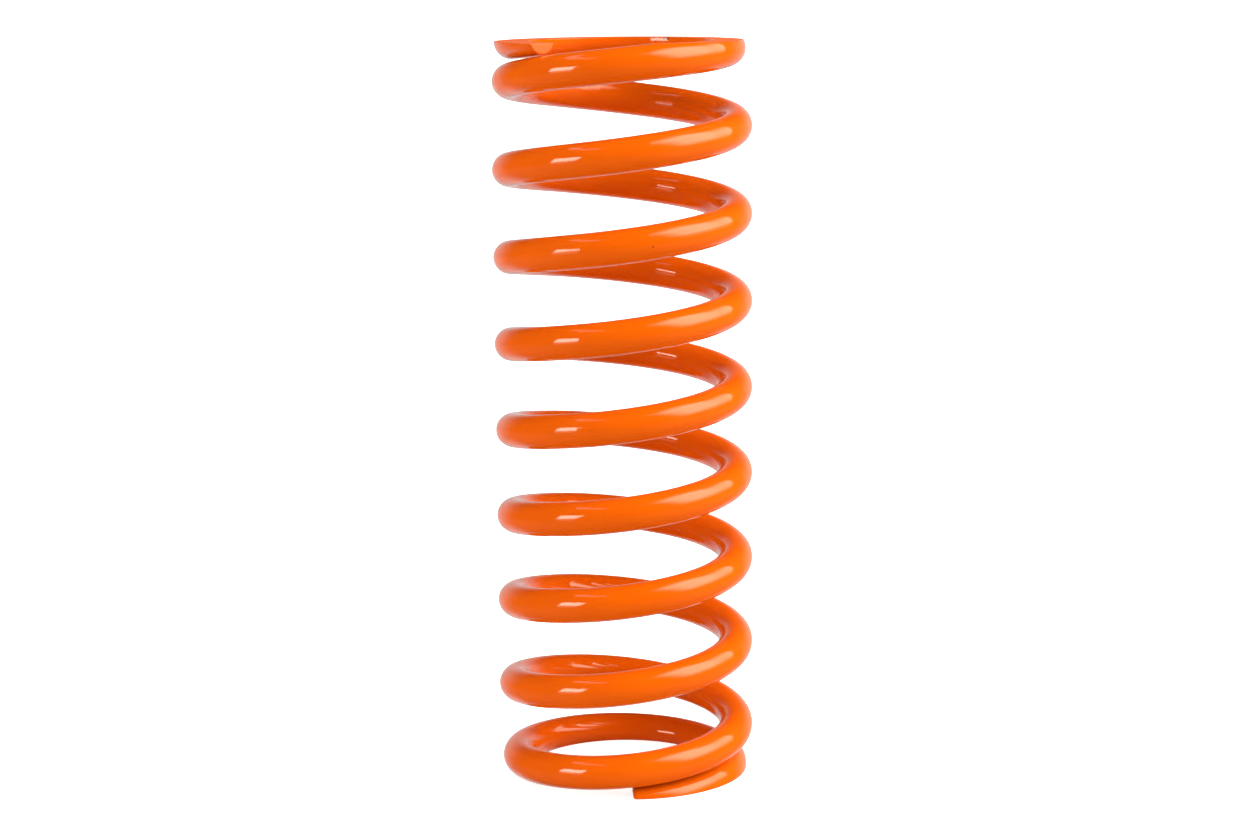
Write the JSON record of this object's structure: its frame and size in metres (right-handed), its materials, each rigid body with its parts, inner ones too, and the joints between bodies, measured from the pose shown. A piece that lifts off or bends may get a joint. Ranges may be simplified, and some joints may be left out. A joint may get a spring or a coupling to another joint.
{
  "type": "shock absorber spring",
  "caption": "Right-hand helical compression spring of round wire, with both end turns closed and ground flat, powder coated orange.",
  "frame": {"origin": "centre of the lower ground seat, on the coil's axis", "axes": "+Z along the coil's axis, towards the upper seat; the lower cut tip is at the front, towards -Y"},
  "size_m": [0.0874, 0.0874, 0.25],
  "materials": {
    "coating": "gloss"
  },
  "bodies": {
    "root": {"coil_spring": "coating"}
  },
  "joints": []
}
